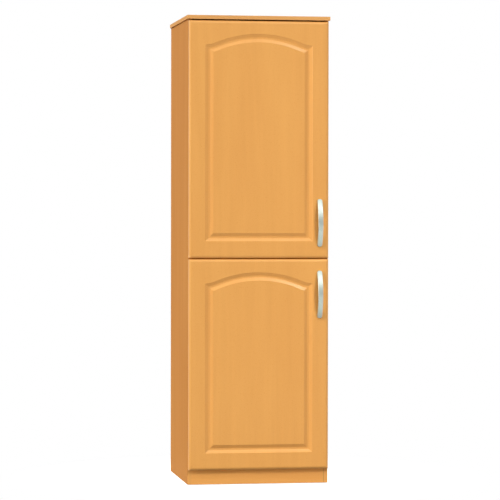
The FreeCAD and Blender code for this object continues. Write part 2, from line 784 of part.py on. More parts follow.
def make_hinge_cup():
    """A round cup with a lip and two screw ears, open to the back of the door."""
    body = add_body("hinge_cup")
    ears = add_sketch(body, "cup_ears", "XZ_Plane", "-pin_depth")
    line = f"({CUP_X} + flange_offset)"
    side = "flange_width / 2"
    top = "flange_height / 2"
    shoulder = f"({top} - {side})"
    trace(
        ears,
        (f"({line} + {side})", f"-{shoulder}"),
        ((f"({line} + {side})", shoulder),),
        ((line, top), (f"({line} - {side})", shoulder)),
        ((f"({line} - {side})", f"-{shoulder}"),),
        ((line, f"-{top}"), (f"({line} + {side})", f"-{shoulder}")),
    )
    extrude(body, "Pad", ears, "flange_thickness", backwards=True)
    lip = add_sketch(body, "cup_lip_plan", "XZ_Plane", "-pin_depth")
    ring(lip, CUP_X, "0", "(cup_radius + cup_lip)")
    flange = extrude(body, "Pad", lip, "flange_thickness", backwards=True)
    rear = value("pin_depth + flange_thickness - fit")
    dress(body, flange, "Chamfer", "cup_soft_rim", lambda edge: edge.CenterOfMass.y > rear,
          Size="flange_softening")
    shell = add_sketch(body, "cup_shell", "XZ_Plane", "-pin_depth")
    ring(shell, CUP_X, "0", "cup_radius")
    extrude(body, "Pad", shell, CUP_DEPTH)
    hollow = add_sketch(body, "cup_hollow", "XZ_Plane", "(-pin_depth - flange_thickness)")
    ring(hollow, CUP_X, "0", CUP_BORE)
    extrude(body, "Pocket", hollow, f"(flange_thickness + {CUP_DEPTH} - cup_floor)", backwards=True)
    screw_holes = add_sketch(body, "cup_screw_holes", "XZ_Plane", "-pin_depth")
    for step in (-1, 1):
        ring(screw_holes, line, f"{step} * cup_screw_spacing / 2", "(cup_screw_radius + hole_play)")
    cut_through(body, screw_holes)
    bore = add_sketch(body, "cup_pin_bore", "XY_Plane")
    ring(bore, "0", "0", "(pin_radius + running_fit)")
    extrude(body, "Pocket", bore, "(pin_length + bore_end_gap)", both_ways=True)
    return body


hinge_arm = make_hinge_arm()
hinge_plate = make_hinge_plate()
hinge_cup = make_hinge_cup()
hinge_pin = doc.addObject("Part::Cylinder", "hinge_pin")
bind(hinge_pin, Radius="pin_radius", Height="pin_length")
hinge_pin.setExpression("Placement.Base.z", cells("-pin_length / 2"))
arm_screw = turned(
    "arm_screw",
    ("-arm_head_height", "arm_head_height", "arm_head_radius"),
    ("0", f"({WEB} + arm_thickness - {PANEL_FACE} - seat_clearance)", "arm_screw_radius"),
)
cup_screw = make_screw("cup_screw", "cup")
node(copies("arm_screws", arm_screw, arm_screw_spots), "hinge_arm_screws")

for side, spots in hinges.items():
    for level, spot in spots.items():
        node(copies("arm", hinge_arm, [spot]), f"{side}_{level}_hinge_arm")
        node(copies("plate", hinge_plate, [spot]), f"{side}_{level}_hinge_plate")
        node(copies("cup", hinge_cup, [spot]), f"{side}_{level}_hinge_cup")
    node(copies("hinge_pins", hinge_pin, spots.values()), f"{side}_hinge_pins")
    node(copies("cup_screws", cup_screw, [
        (f"({x} + {CUP_X} + flange_offset)", "(flange_thickness - door_gap)",
         f"{z} + {step} * cup_screw_spacing / 2", OUTWARD)
        for x, _, z, _ in spots.values()
        for step in (-1, 1)
    ]), f"{side}_cup_screws")


# Doors: a board with a rolled front edge and an arched raised panel routed into its face.

def roll_edges(body, side, height):
    """Round the front edges over, first down both sides, then along top and bottom."""
    along_edge, below_face = sagging_arc("edge_width", "edge_depth")
    uprights = add_sketch(body, f"{side}_upright_edges", "XY_Plane", f"{height} / 2")
    for sign in (-1, 1):
        edge = f"({DOOR_WIDTH} / 2)"
        trace(
            uprights,
            (f"{sign} * ({edge} - edge_width)", "0"),
            ((f"{sign} * ({edge} - edge_width + {along_edge})", below_face),
             (f"{sign} * {edge}", "edge_depth")),
            ((f"{sign} * ({edge} + edge_width)", "edge_depth"),),
            ((f"{sign} * ({edge} + edge_width)", "-edge_depth"),),
            ((f"{sign} * ({edge} - edge_width)", "-edge_depth"),),
            ((f"{sign} * ({edge} - edge_width)", "0"),),
        )
    cut_through(body, uprights)
    ends = add_sketch(body, f"{side}_end_edges", "YZ_Plane")
    for edge, sign in (("0", 1), (height, -1)):
        inner = f"({edge} + {sign} * edge_width)"
        outer = f"({edge} - {sign} * edge_width)"
        trace(
            ends,
            ("0", inner),
            ((below_face, f"({inner} - {sign} * {along_edge})"), ("edge_depth", edge)),
            (("edge_depth", outer),),
            (("-edge_depth", outer),),
            (("-edge_depth", inner),),
            (("0", inner),),
        )
    cut_through(body, ends)


def rout_panel(body, side, height):
    """Sweep the moulding round the arched outline; its corners come out mitred."""
    half = f"({DOOR_WIDTH} / 2 - stile_width)"
    shoulder = f"({height} - shoulder_drop)"
    turn = f"(2 * atan((shoulder_drop - apex_drop) / {half}))"
    path = add_sketch(body, f"{side}_arch", "XZ_Plane")

    def on_ogee(sign, part):
        angle = f"({part} * {turn})"
        x = f"({sign} * ({half} - ogee_radius * sin({angle})))"
        return (x, f"({shoulder} + ogee_radius * (1 - cos({angle})))")

    trace(
        path,
        ("0", "rail_width"),
        ((half, "rail_width"),),
        ((half, shoulder),),
        (on_ogee(1, 0.5), on_ogee(1, 1)),
        (("0", f"({height} - apex_drop)"), on_ogee(-1, 1)),
        (on_ogee(-1, 0.5), (f"-{half}", shoulder)),
        ((f"-{half}", "rail_width"),),
        (("0", "rail_width"),),
    )
    profile = add_sketch(body, f"{side}_moulding", "YZ_Plane")
    ovolo_end = "(rail_width + ovolo_width)"
    bevel_start = "(rail_width + ovolo_width + groove_flat)"
    field = "(rail_width + ovolo_width + groove_flat + bevel_width)"
    ovolo_middle = ("((quirk_depth + moulding_depth) / 2 - ovolo_swell)",
                    "(rail_width + (quirk_run + ovolo_width) / 2)")
    bevel_middle = ("((field_step + moulding_depth) / 2 - bevel_round)", f"({bevel_start} + bevel_width / 2)")
    trace(
        profile,
        ("-moulding_depth", "rail_width"),
        (("0", "rail_width"),),
        (("quirk_depth", "(rail_width + quirk_run)"),),
        (ovolo_middle, ("moulding_depth", ovolo_end)),
        (("moulding_depth", bevel_start),),
        (bevel_middle, ("field_step", field)),
        (("-moulding_depth", field),),
        (("-moulding_depth", "rail_width"),),
    )
    pipe = body.newObject("PartDesign::SubtractivePipe", f"{side}_raised_panel")
    pipe.Profile = profile
    pipe.Spine = (path, [])
    pipe.Transition = "Right corner"


def make_door(side, height, handle):
    body = add_body(f"{side}_door")
    blank = add_sketch(body, f"{side}_blank", "XZ_Plane")
    rectangle(blank, f"-{DOOR_WIDTH} / 2", "0", f"{DOOR_WIDTH} / 2", height)
    extrude(body, "Pad", blank, "door_thickness", backwards=True)
    roll_edges(body, side, height)
    rout_panel(body, side, height)
    cup_x = f"(-{DOOR_WIDTH} / 2 + {PIN_INSET} + {CUP_X})"
    rises = ("hinge_inset", f"({height} / 2)", f"({height} - hinge_inset)")
    cups = add_sketch(body, f"{side}_cup_holes", "XZ_Plane", "-door_thickness")
    pilots = add_sketch(body, f"{side}_cup_pilots", "XZ_Plane", "-door_thickness")
    for rise in rises:
        ring(cups, cup_x, rise, CUP_HOLE)
        for step in (-1, 1):
            ring(pilots, f"({cup_x} + flange_offset)", f"({rise} + {step} * cup_screw_spacing / 2)",
                 "(cup_screw_radius + fit)")
    extrude(body, "Pocket", cups, f"({CUP_DEPTH} + cup_play)", backwards=True)
    extrude(body, "Pocket", pilots, "cup_screw_length", backwards=True)
    handle_holes = add_sketch(body, f"{side}_handle_holes", "XZ_Plane")
    for step in (-1, 1):
        ring(handle_holes, HANDLE_X, f"({handle} + {step} * handle_hole_spacing / 2)",
             "(handle_screw_radius + hole_play)")
    cut_through(body, handle_holes)
    return body


def make_handle():
    """A bow of satin metal that stands on two flat feet."""
    body = add_body("handle")
    bow = add_sketch(body, "handle_bow", "YZ_Plane")
    end = "(handle_length / 2)"
    foot = "(handle_length / 2 - handle_foot)"
    trace(
        bow,
        ("0", end),
        (("-handle_end", end),),
        (("-handle_reach", "0"), ("-handle_end", f"-{end}")),
        (("0", f"-{end}"),),
        (("0", f"-{foot}"),),
        (("(handle_grip - handle_reach)", "0"), ("0", foot)),
        (("0", end),),
    )
    strap = extrude(body, "Pad", bow, "handle_width", both_ways=True)
    corners = dress(body, strap, "Fillet", "handle_corners",
                    lambda edge: along(edge, Vector(0, 1, 0)), Radius="handle_corner")
    seat = value("-fit")
    dress(body, corners, "Fillet", "handle_soft_edges",
          lambda edge: edge.CenterOfMass.y < seat and not along(edge, Vector(0, 1, 0)),
          Radius="handle_softening")
    holes = add_sketch(body, "handle_screw_holes", "XZ_Plane")
    for step in (-1, 1):
        ring(holes, "0", f"{step} * handle_hole_spacing / 2", "(handle_screw_radius + fit)")
    extrude(body, "Pocket", holes, "(handle_screw_bite + bore_end_gap / 2)", backwards=True)
    return body


handle = make_handle()
handle_screw = turned(
    "handle_screw",
    ("-handle_head_height", "handle_head_height", "handle_head_radius"),
    ("0", "(door_thickness + handle_screw_bite)", "handle_screw_radius"),
)
bumper = turned("bumper", ("0", "(door_gap - bumper_play)", "bumper_radius"))
bumper_x = "(carcass_width / 2 - board / 2)"

for side, door in doors.items():
    foot = door["foot"]
    leaf = make_door(side, door["height"], door["handle"])
    node(place(leaf, "0", DOOR_FACE, foot), f"{side}_door")
    handle_z = f"({foot} + {door['handle']})"
    node(copies("handles", handle, [(HANDLE_X, DOOR_FACE, handle_z, LEFT_TO_RIGHT)]), f"{side}_handle")
    node(copies("handle_screws", handle_screw, [
        (HANDLE_X, "(-door_gap)", f"{handle_z} + {step} * handle_hole_spacing / 2", OUTWARD)
        for step in (-1, 1)
    ]), f"{side}_handle_screws")
    node(copies("bumpers", bumper, [
        (bumper_x, "(-door_gap)", f"{foot} + {rise}", INWARD)
        for rise in ("bumper_inset", f"{door['height']} - bumper_inset")
    ]), f"{side}_door_bumpers")

doc.recompute()
for item in doc.Objects:
    if "Invalid" in item.State or "Error" in item.State:
        raise RuntimeError(f"{item.Label} did not build: {item.State}")
for item in nodes:
    if item.Shape.isNull() or not item.Shape.isValid():
        raise RuntimeError(f"{item.Label} has no valid solid")

os.makedirs("parts", exist_ok=True)
for item in nodes:
    item.Shape.exportStep(f"parts/{item.Label}.step")
    box = item.Shape.BoundBox
    print(f"{item.Label}: {len(item.Shape.Solids)} solids, {item.Shape.Volume:.0f} mm3, "
          f"z {box.ZMin:.1f} to {box.ZMax:.1f}")
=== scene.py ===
import json
import math

import bmesh
import bpy
from mathutils import Matrix, Vector


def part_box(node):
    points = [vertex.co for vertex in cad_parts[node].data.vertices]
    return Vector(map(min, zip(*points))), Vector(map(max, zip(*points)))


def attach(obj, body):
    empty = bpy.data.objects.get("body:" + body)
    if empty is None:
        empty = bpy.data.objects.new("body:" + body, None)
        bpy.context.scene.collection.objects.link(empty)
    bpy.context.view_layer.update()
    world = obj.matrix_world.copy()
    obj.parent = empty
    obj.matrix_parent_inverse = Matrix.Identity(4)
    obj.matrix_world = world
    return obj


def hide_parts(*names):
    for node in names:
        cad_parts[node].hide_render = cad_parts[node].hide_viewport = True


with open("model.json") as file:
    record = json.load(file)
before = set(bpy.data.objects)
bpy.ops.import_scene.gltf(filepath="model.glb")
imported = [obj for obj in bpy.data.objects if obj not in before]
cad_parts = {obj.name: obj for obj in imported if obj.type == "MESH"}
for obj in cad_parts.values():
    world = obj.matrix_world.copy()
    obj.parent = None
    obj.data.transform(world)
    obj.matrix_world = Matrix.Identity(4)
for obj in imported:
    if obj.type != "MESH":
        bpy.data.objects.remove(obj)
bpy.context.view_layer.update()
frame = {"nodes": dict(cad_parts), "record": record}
scene = bpy.context.scene
scene.view_settings.view_transform = "Standard"
slotOf = {part["node"]: part["material_slot"] for part in frame["record"]["subparts"]}
bodyOf = {node: body for body, nodes in frame["record"]["behaviour"]["bodies"].items() for node in nodes}
print("frame loaded:", len(frame["nodes"]), "nodes")


# helpers for shader trees

def newMaterial(name):
    material = bpy.data.materials.new(name)
    material.use_nodes = True
    tree = material.node_tree
    return material, tree, tree.nodes["Principled BSDF"]


def feed(tree, socket, value):
    if isinstance(value, bpy.types.NodeSocket):
        tree.links.new(value, socket)
    else:
        socket.default_value = value


def addNode(tree, kind, inputs=None, **settings):
    node = tree.nodes.new(kind)
    for key, value in settings.items():
        setattr(node, key, value)
    for key, value in (inputs or {}).items():
        feed(tree, node.inputs[key], value)
    return node


def mathNode(tree, operation, first, second=0.0):
    return addNode(tree, "ShaderNodeMath", {0: first, 1: second}, operation=operation).outputs[0]


def rangeNode(tree, value, span, result=(0.0, 1.0), smooth=False):
    kind = "SMOOTHSTEP" if smooth else "LINEAR"
    inputs = {"Value": value, "From Min": span[0], "From Max": span[1],
              "To Min": result[0], "To Max": result[1]}
    return addNode(tree, "ShaderNodeMapRange", inputs, interpolation_type=kind).outputs[0]


def mixColour(tree, factor, first, second, blend="MIX"):
    node = addNode(tree, "ShaderNodeMix", data_type="RGBA", blend_type=blend)
    for index, value in ((0, factor), (6, first), (7, second)):   # the sockets of its colour mode
        feed(tree, node.inputs[index], value)
    return node.outputs[2]


def noiseNode(tree, place, scale, detail=2.0, roughness=0.5, distortion=0.0):
    stretched = addNode(tree, "ShaderNodeVectorMath", {0: place, 1: scale}, operation="MULTIPLY").outputs[0]
    inputs = {"Vector": stretched, "Scale": 1.0, "Detail": detail,
              "Roughness": roughness, "Distortion": distortion}
    return addNode(tree, "ShaderNodeTexNoise", inputs).outputs["Fac"]


def bumpNode(tree, height, strength, depth):
    inputs = {"Height": height, "Strength": strength, "Distance": depth}
    return addNode(tree, "ShaderNodeBump", inputs).outputs[0]


def objectPlace(tree):
    return addNode(tree, "ShaderNodeTexCoord").outputs["Object"]


def newGroup(name, inputs, outputs):
    group = bpy.data.node_groups.new(name, "ShaderNodeTree")
    for socket, kind in inputs.items():
        group.interface.new_socket(socket, in_out="INPUT", socket_type=f"NodeSocket{kind}")
    for socket, kind in outputs.items():
        group.interface.new_socket(socket, in_out="OUTPUT", socket_type=f"NodeSocket{kind}")
    return group, addNode(group, "NodeGroupInput").outputs, addNode(group, "NodeGroupOutput").inputs


def placeGroup(tree, group, **inputs):
    return addNode(tree, "ShaderNodeGroup", inputs, node_tree=group).outputs


def rgba(tone, level=1.0):
    return (*(level * channel for channel in tone), 1.0)


def dress(tree, shader, colour, rough, normal):
    tree.links.new(colour, shader.inputs["Base Color"])
    tree.links.new(rough, shader.inputs["Roughness"])
    tree.links.new(normal, shader.inputs["Normal"])


# beech print: soft clouds, wavering growth lines, fine fibres and short ray flecks, all along Z
beechPrint = {
    "cloud": {"scale": (3.0, 3.0, 1.1), "detail": 3.0},
    "figure": {"scale": (14.0, 14.0, 1.3), "detail": 3.0, "roughness": 0.6, "distortion": 0.4},
    "line": {"scale": (9.0, 9.0, 0.45), "detail": 3.0, "distortion": 0.5},
    "fibre": {"scale": (520.0, 520.0, 9.0), "detail": 2.0, "roughness": 0.6},
    "fleck": {"scale": (820.0, 820.0, 190.0), "detail": 1.0},
    "shares": {"cloud": 0.085, "figure": 0.07, "line": 0.02, "fibre": 0.035},   # swing of the tone
    "lineCount": 9.0,
    "fleckSpan": (0.63, 0.71),
    "fleckShare": 0.12,
    "fleckTint": (1.0, 0.90, 0.76),
    "hueSwing": (0.7, 1.2, 1.8),   # darker streaks turn redder, paler ones yellower
    "fibreSpan": (0.3, 0.7),
    "fibreRough": (-0.04, 0.05),   # added to the roughness across that span
    "bump": 0.06,
    "bumpDepth": 0.0003,
}
noiseMiddle = 0.5   # every layer swings from 0 to 1 about this


def makeBeechGroup():
    group, given, result = newGroup(
        "beechPrint",
        {"Place": "Vector", "Tone": "Color", "Roughness": "Float"},
        {"Color": "Color", "Roughness": "Float", "Height": "Float"},
    )
    settings = beechPrint
    layers = {name: noiseNode(group, given["Place"], **settings[name])
              for name in ("cloud", "figure", "line", "fibre", "fleck")}
    waver = mathNode(group, "MULTIPLY", layers["line"], settings["lineCount"])
    layers["line"] = mathNode(group, "PINGPONG", waver, 1.0)
    fibre = layers["fibre"]
    fleck = rangeNode(group, layers["fleck"], settings["fleckSpan"])
    light = 1.0
    for name, share in settings["shares"].items():
        swing = mathNode(group, "SUBTRACT", layers[name], noiseMiddle)
        scaled = mathNode(group, "MULTIPLY", swing, 2 * share)
        light = mathNode(group, "ADD", light, scaled)
    light = mathNode(group, "SUBTRACT", light, mathNode(group, "MULTIPLY", fleck, settings["fleckShare"]))
    channels = [mathNode(group, "POWER", light, power) for power in settings["hueSwing"]]
    swung = addNode(group, "ShaderNodeCombineColor", dict(enumerate(channels))).outputs[0]
    shaded = mixColour(group, 1.0, given["Tone"], swung, "MULTIPLY")
    reddened = mixColour(group, 1.0, shaded, rgba(settings["fleckTint"]), "MULTIPLY")
    group.links.new(mixColour(group, fleck, shaded, reddened), result["Color"])
    change = rangeNode(group, fibre, settings["fibreSpan"], settings["fibreRough"])
    group.links.new(mathNode(group, "ADD", given["Roughness"], change), result["Roughness"])
    group.links.new(mathNode(group, "SUBTRACT", fibre, fleck), result["Height"])
    return group


# sawn board edges: flakes of chip pressed together, pale and brown
chipBoard = {
    "flake": {"scale": (420.0, 420.0, 420.0), "detail": 3.0, "roughness": 0.65, "distortion": 1.2},
    "flakeSpan": (0.36, 0.62),
    "pale": (0.48, 0.31, 0.16),
    "brown": (0.23, 0.125, 0.055),
    "roughness": 0.85,
}


def makeChipGroup():
    group, given, result = newGroup("chipBoard", {"Place": "Vector"}, {"Color": "Color", "Height": "Float"})
    flakes = noiseNode(group, given["Place"], **chipBoard["flake"])
    share = rangeNode(group, flakes, chipBoard["flakeSpan"])
    tone = mixColour(group, share, rgba(chipBoard["brown"]), rgba(chipBoard["pale"]))
    group.links.new(tone, result["Color"])
    group.links.new(flakes, result["Height"])
    return group


beechGroup = makeBeechGroup()
chipGroup = makeChipGroup()

# how each face throws light back: satin lacquer on the doors, matt foil on the boards, bare wood
surfaces = {
    "lacquer": {"roughness": 0.40, "specular": 0.80, "ior": 1.65, "tint": (0.80, 1.00, 0.80)},
    "foil": {"roughness": 0.60, "specular": 0.02, "ior": 1.50, "tint": (0.85, 0.42, 0.10)},
    "bare": {"roughness": 0.60, "specular": 0.20, "ior": 1.50, "tint": (1.00, 1.00, 1.00)},
}
squareOn = 0.9   # a face looks along an axis where its normal has this share of it
frontEdge = (("Y", -1.0),)
rearEdge = (("Y", 1.0),)
footEdge = (("Z", -1.0),)


def facing(tree, directions):
    way = addNode(tree, "ShaderNodeTexCoord").outputs["Normal"]
    normal = addNode(tree, "ShaderNodeSeparateXYZ", {0: way})
    mask = 0.0
    for axis, sign in directions:
        turned = mathNode(tree, "MULTIPLY", normal.outputs[axis], sign)
        mask = mathNode(tree, "MAXIMUM", mathNode(tree, "GREATER_THAN", turned, squareOn), mask)
    return mask


# sawn faces show chipboard, painted joint shade darkens the end along X where the board meets the next one,
# and an edge tone is for the front edge
def makeBeech(name, tone, surface, turn, shift=(0.0, 0.0, 0.0), sawn=(), paintedJointShade=None, edge=None):
    material, tree, shader = newMaterial(name)
    coat = surfaces[surface]
    place = objectPlace(tree)
    mapping = addNode(tree, "ShaderNodeMapping", {"Vector": place, "Rotation": turn, "Location": shift})
    mapped = mapping.outputs[0]
    ground = rgba(tone)
    if edge:
        ground = mixColour(tree, facing(tree, frontEdge), ground, rgba(edge))
    beech = placeGroup(tree, beechGroup, Place=mapped, Tone=ground, Roughness=coat["roughness"])
    colour = beech["Color"]
    height = beech["Height"]
    rough = beech["Roughness"]
    if sawn:
        chip = placeGroup(tree, chipGroup, Place=mapped)
        mask = facing(tree, sawn)
        colour = mixColour(tree, mask, colour, chip["Color"])
        height = mathNode(tree, "ADD", height, mathNode(tree, "MULTIPLY", mask, chip["Height"]))
        rough = mathNode(tree, "MAXIMUM", rough, mathNode(tree, "MULTIPLY", mask, chipBoard["roughness"]))
    # painted shade: the end along X turns darker towards the joint with the next board
    if paintedJointShade:
        across = addNode(tree, "ShaderNodeSeparateXYZ", {0: place}).outputs["X"]
        shade = rangeNode(tree, across, paintedJointShade["span"], (0.0, paintedJointShade["share"]))
        colour = mixColour(tree, shade, colour, rgba(tone, paintedJointShade["dark"]))
    normal = bumpNode(tree, height, beechPrint["bump"], beechPrint["bumpDepth"])
    dress(tree, shader, colour, rough, normal)
    shader.inputs["Specular IOR Level"].default_value = coat["specular"]
    shader.inputs["IOR"].default_value = coat["ior"]
    shader.inputs["Specular Tint"].default_value = rgba(coat["tint"])
    return material


# hardboard back: printed beech inside, bare brown fibre outside
backBoard = {
    "printTone": (0.66, 0.40, 0.18),
    "fibreTone": (0.34, 0.20, 0.095),
    "shades": (0.8, 1.25),   # darkest and palest fluff
    "fluff": {"scale": (700.0, 700.0, 700.0), "detail": 4.0, "roughness": 0.7, "distortion": 0.8},
    "fluffSpan": (0.3, 0.7),
    "roughness": 0.8,
    "bump": 0.2,
    "bumpDepth": 0.0003,
}


def makeBackBoard(name):
    settings = backBoard
    foil = surfaces["foil"]
    material, tree, shader = newMaterial(name)
    place = objectPlace(tree)
    beech = placeGroup(tree, beechGroup, Place=place, Tone=rgba(settings["printTone"]),
                       Roughness=foil["roughness"])
    fluff = noiseNode(tree, place, **settings["fluff"])
    dark, pale = (rgba(settings["fibreTone"], shade) for shade in settings["shades"])
    bare = mixColour(tree, rangeNode(tree, fluff, settings["fluffSpan"]), dark, pale)
    mask = facing(tree, rearEdge)
    colour = mixColour(tree, mask, beech["Color"], bare)
    bareRough = mathNode(tree, "MULTIPLY", mask, settings["roughness"])
    rough = mathNode(tree, "MAXIMUM", beech["Roughness"], bareRough)
    height = mathNode(tree, "MULTIPLY", mask, fluff)
    normal = bumpNode(tree, height, settings["bump"], settings["bumpDepth"])
    dress(tree, shader, colour, rough, normal)
    shader.inputs["Specular IOR Level"].default_value = foil["specular"]
    return material


# metals: grain stretches the brushing or casting marks, smears are faint hand and polish marks
metals = {
    "satinNickel": {"tone": (0.75, 0.835, 0.755), "roughness": 0.30,
                    "grain": (1400, 1400, 16), "bump": 0.05},
    "nickelPlate": {"tone": (0.74, 0.735, 0.71), "roughness": 0.22,
                    "grain": (350, 350, 350), "bump": 0.03},
    "brightZinc": {"tone": (0.58, 0.605, 0.63), "roughness": 0.32,
                   "grain": (500, 500, 500), "bump": 0.05},
    "castZinc": {"tone": (0.52, 0.53, 0.54), "roughness": 0.45,
                 "grain": (900, 900, 900), "bump": 0.12},
}
metalMarks = {
    "detail": 3.0,
    "smear": (28.0, 28.0, 18.0),
    "span": (0.3, 0.7),
    "dull": 0.93,          # darkest share of the tone
    "roughSwing": 0.05,
    "bumpDepth": 0.0002,
}


def makeMetal(name):
    settings = metals[name]
    material, tree, shader = newMaterial(name)
    place = objectPlace(tree)
    marks = noiseNode(tree, place, settings["grain"], metalMarks["detail"])
    smears = noiseNode(tree, place, metalMarks["smear"], metalMarks["detail"])
    halves = [mathNode(tree, "MULTIPLY", rangeNode(tree, noise, metalMarks["span"]), 0.5)
              for noise in (marks, smears)]
    share = mathNode(tree, "ADD", *halves)
    colour = mixColour(tree, share, rgba(settings["tone"], metalMarks["dull"]), rgba(settings["tone"]))
    low = settings["roughness"] - metalMarks["roughSwing"]
    high = settings["roughness"] + metalMarks["roughSwing"]
    rough = rangeNode(tree, share, (0.0, 1.0), (low, high))
    normal = bumpNode(tree, marks, settings["bump"], metalMarks["bumpDepth"])
    dress(tree, shader, colour, rough, normal)
    shader.inputs["Metallic"].default_value = 1.0
    return material


plastics = {
    "glidePlastic": {"tone": (0.72, 0.71, 0.67), "roughness": 0.45, "clear": 0.0},
    "bumperSoft": {"tone": (0.80, 0.79, 0.75), "roughness": 0.28, "clear": 0.6},
}
plasticGrain = {
    "scale": (900.0, 900.0, 900.0),
    "span": (0.3, 0.7),
    "dull": 0.94,          # darkest share of the tone
    "roughSwing": 0.04,
    "bump": 0.08,
    "bumpDepth": 0.0002,
}


def makePlastic(name):
    settings = plastics[name]
    material, tree, shader = newMaterial(name)
    grain = noiseNode(tree, objectPlace(tree), plasticGrain["scale"])
    share = rangeNode(tree, grain, plasticGrain["span"])
    colour = mixColour(tree, share, rgba(settings["tone"], plasticGrain["dull"]), rgba(settings["tone"]))
    low = settings["roughness"] - plasticGrain["roughSwing"]
    high = settings["roughness"] + plasticGrain["roughSwing"]
    rough = rangeNode(tree, grain, plasticGrain["span"], (low, high))
    normal = bumpNode(tree, grain, plasticGrain["bump"], plasticGrain["bumpDepth"])
    dress(tree, shader, colour, rough, normal)
    shader.inputs["Transmission Weight"].default_value = settings["clear"]
    return material


# grain runs up doors and sides, and along the lying boards; shift gives each its own stretch of print
upright = (0.0, 0.0, 0.0)
alongX = (0.0, math.radians(90), 0.0)
beechTones = {
    "door": (0.790, 0.360, 0.080),
    "side": (0.625, 0.259, 0.0575),
    # side: a darker copy of the carcass tone, painted shade for the side panels
    "frontEdge": (0.800, 0.378, 0.104),
    "top": (0.745, 0.372, 0.122),
    "carcass": (0.800, 0.371, 0.100),
    # plinth: a paler copy of the carcass tone, painted light against the shade under the doors
    "plinth": (0.835, 0.388, 0.105),
    "dowel": (0.62, 0.40, 0.20),
}
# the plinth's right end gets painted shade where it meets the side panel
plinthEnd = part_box("plinth_board")[1].x
plinthJointShade = {"span": (plinthEnd - 0.0030, plinthEnd - 0.0012), "share": 0.6, "dark": 0.35}
beechFaces = {
    "doorUpper": {"name": "doorUpperBeech", "tone": beechTones["door"], "surface": "lacquer",
                  "turn": upright, "shift": (0.13, 0.0, 0.4)},
    "doorLower": {"name": "doorLowerBeech", "tone": beechTones["door"], "surface": "lacquer",
                  "turn": upright, "shift": (1.7, 0.3, 2.1)},
    "sides": {"name": "sidePanelBeechShaded", "tone": beechTones["side"], "surface": "foil",
              "turn": upright, "shift": (3.1, 1.3, 0.7),
              "sawn": rearEdge + footEdge, "edge": beechTones["frontEdge"]},
    "top": {"name": "topBeech", "tone": beechTones["top"], "surface": "foil",
            "turn": alongX, "shift": (4.4, 2.7, 0.9), "sawn": rearEdge},
    "lying": {"name": "lyingBoardBeech", "tone": beechTones["carcass"], "surface": "foil",
              "turn": alongX, "shift": (5.2, 0.7, 1.9), "sawn": rearEdge},
    "plinth": {"name": "plinthBeechLitAndShaded", "tone": beechTones["plinth"], "surface": "foil",
               "turn": alongX, "shift": (2.6, 1.1, 0.3), "sawn": footEdge, "paintedJointShade": plinthJointShade},
    "dowel": {"name": "dowelBeech", "tone": beechTones["dowel"], "surface": "bare", "turn": alongX},
}

materials = {
    **{key: makeBeech(**face) for key, face in beechFaces.items()},
    "back": makeBackBoard("hardboardBack"),
    **{name: makeMetal(name) for name in metals},
    **{name: makePlastic(name) for name in plastics},
}
finishOf = {
    "upper_door": "doorUpper",
    "lower_door": "doorLower",
    "left_side_panel": "sides",
    "right_side_panel": "sides",
    "top_panel": "top",
    "plinth_board": "plinth",
    "upper_back_panel": "back",
    "wooden_dowels": "dowel",
    "floor_glides": "glidePlastic",
    "cam_locks": "castZinc",
}
# nodes that are not named above take their slot's finish
slotFinish = {
    "carcass_beech": "lying",
    "handle_nickel": "satinNickel",
    "hinge_steel": "nickelPlate",
    "zinc": "brightZinc",
    "bumper_clear": "bumperSoft",
}


def finishFor(node):
    return materials[finishOf.get(node) or slotFinish[slotOf[node]]]


for name, item in frame["nodes"].items():
    item.data.materials.clear()
    item.data.materials.append(finishFor(name))
print("finishes on", len(frame["nodes"]), "nodes")


# small fittings: each group of solids in a node gets turned pieces of the same size and place

weldGap = 1e-6


# the box of each separate solid in a node
def solidsOf(node):
    work = bmesh.new()
    work.from_mesh(frame["nodes"][node].data)
    bmesh.ops.remove_doubles(work, verts=work.verts, dist=weldGap)
    waiting = set(work.verts)
    boxes = []
    for start in work.verts:
        if start not in waiting:
            continue
        waiting.remove(start)
        reached = [start]
        for vert in reached:
            others = [edge.other_vert(vert) for edge in vert.link_edges]
            fresh = [other for other in others if other in waiting]
            waiting.difference_update(fresh)
            reached.extend(dict.fromkeys(fresh))
        corners = list(zip(*(vert.co for vert in reached)))
        boxes.append((Vector(map(min, corners)), Vector(map(max, corners))))
    work.free()
    return boxes


def loopEdges(verts):
    touching = dict.fromkeys(edge for vert in verts for edge in vert.link_edges)
    return [edge for edge in touching if all(vert in verts for vert in edge.verts)]


def addRing(work, radius, level, steps):
    made = bmesh.ops.create_circle(work, segments=steps, radius=radius)["verts"]
    bmesh.ops.translate(work, verts=made, vec=(0, 0, level))
    return made


def skin(work, loops):
    for first, second in zip(loops, loops[1:]):
        bmesh.ops.bridge_loops(work, edges=loopEdges(first) + loopEdges(second))


def closeLoop(work, verts):
    bmesh.ops.contextual_create(work, geom=verts)


# turns what was made since a mark to look outward and seats its top
def standIn(work, before, top, outward):
    made = [vert for vert in work.verts if vert not in before]
    turn = Vector((0, 0, 1)).rotation_difference(outward).to_matrix().to_4x4()
    bmesh.ops.transform(work, matrix=Matrix.Translation(top) @ turn, verts=made)


def towardsMiddle(low, high):
    return Vector((-math.copysign(1.0, low.x + high.x), 0.0, 0.0))


# the middle of the box's face that looks outward, the radius across it and the length behind it
def seatOf(low, high, outward):
    middle = (low + high) / 2
    size = high - low
    axis = max(range(3), key=lambda index: abs(outward[index]))
    across = [size[index] for index in range(3) if index != axis]
    return middle + outward * size[axis] / 2, max(across) / 2, size[axis]


